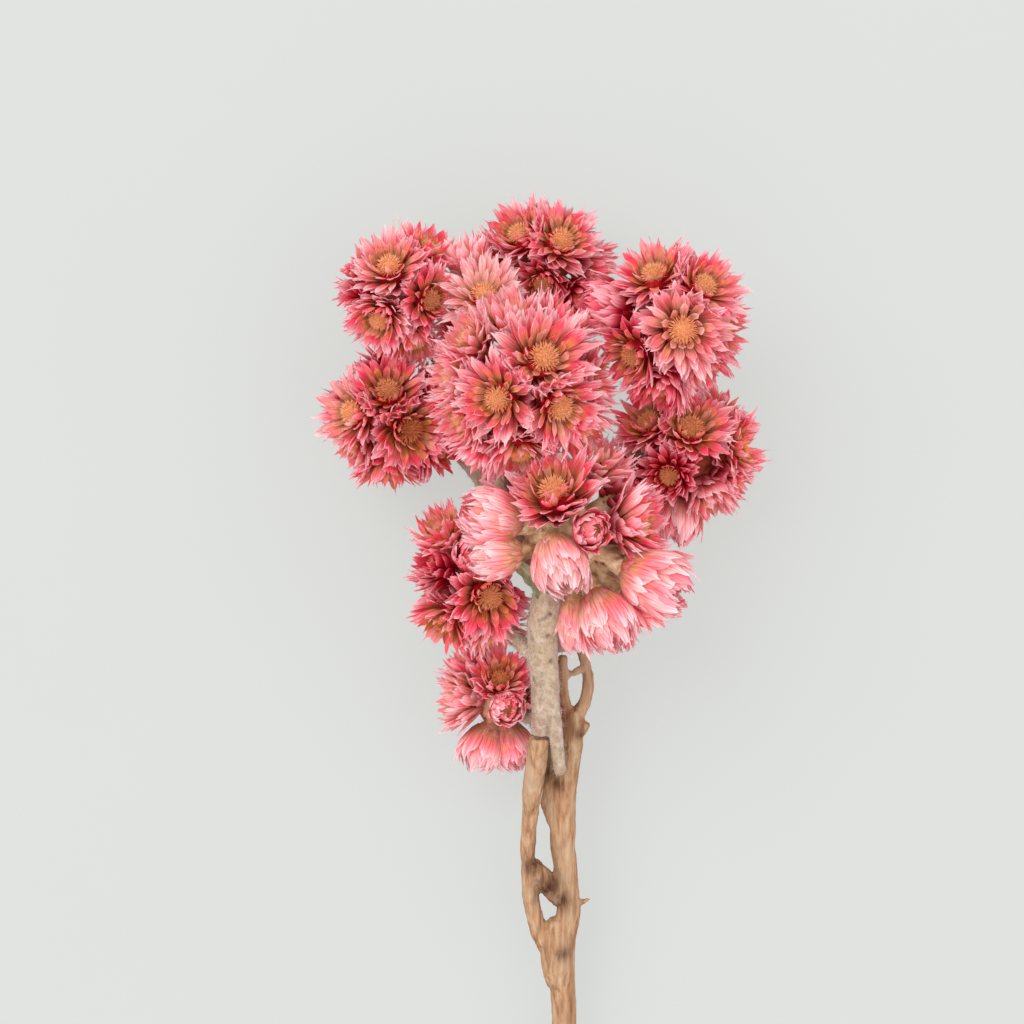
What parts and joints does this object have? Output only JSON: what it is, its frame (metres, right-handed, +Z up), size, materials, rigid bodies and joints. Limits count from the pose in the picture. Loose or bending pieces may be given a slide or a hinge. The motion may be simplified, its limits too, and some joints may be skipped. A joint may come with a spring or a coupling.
{
  "type": "dried andean aster",
  "caption": "Dried sprig of round bunches of pink papery flower heads on felted shoots above a forked brown stem, lying on its side.",
  "frame": {"origin": "bottom centre of the bounding box, on the surface that the sprig lies on", "axes": "+Y along the stem from its cut end to the flowers, +Z up from the surface, +X to the right in the picture"},
  "size_m": [0.0621, 0.1879, 0.0364],
  "materials": {
    "bracts": "papery dried bracts, pink with pale tips and tan centres",
    "bark": "dry bare bark, matt",
    "felt": "woody shoot under cream-grey felted hair"
  },
  "bodies": {
    "root": {"woody_stem": "bark", "shoot_front": "felt", "shoot_rear": "felt", "shoot_right": "felt", "bunch_top_left": "bracts", "bunch_top_small": "bracts", "bunch_top": "bracts", "bunch_upper_right": "bracts", "bunch_lower_right": "bracts", "bunch_centre": "bracts", "bunch_left": "bracts", "bunch_front": "bracts", "bunch_lower_left": "bracts", "bunch_lowest": "bracts"}
  },
  "joints": []
}
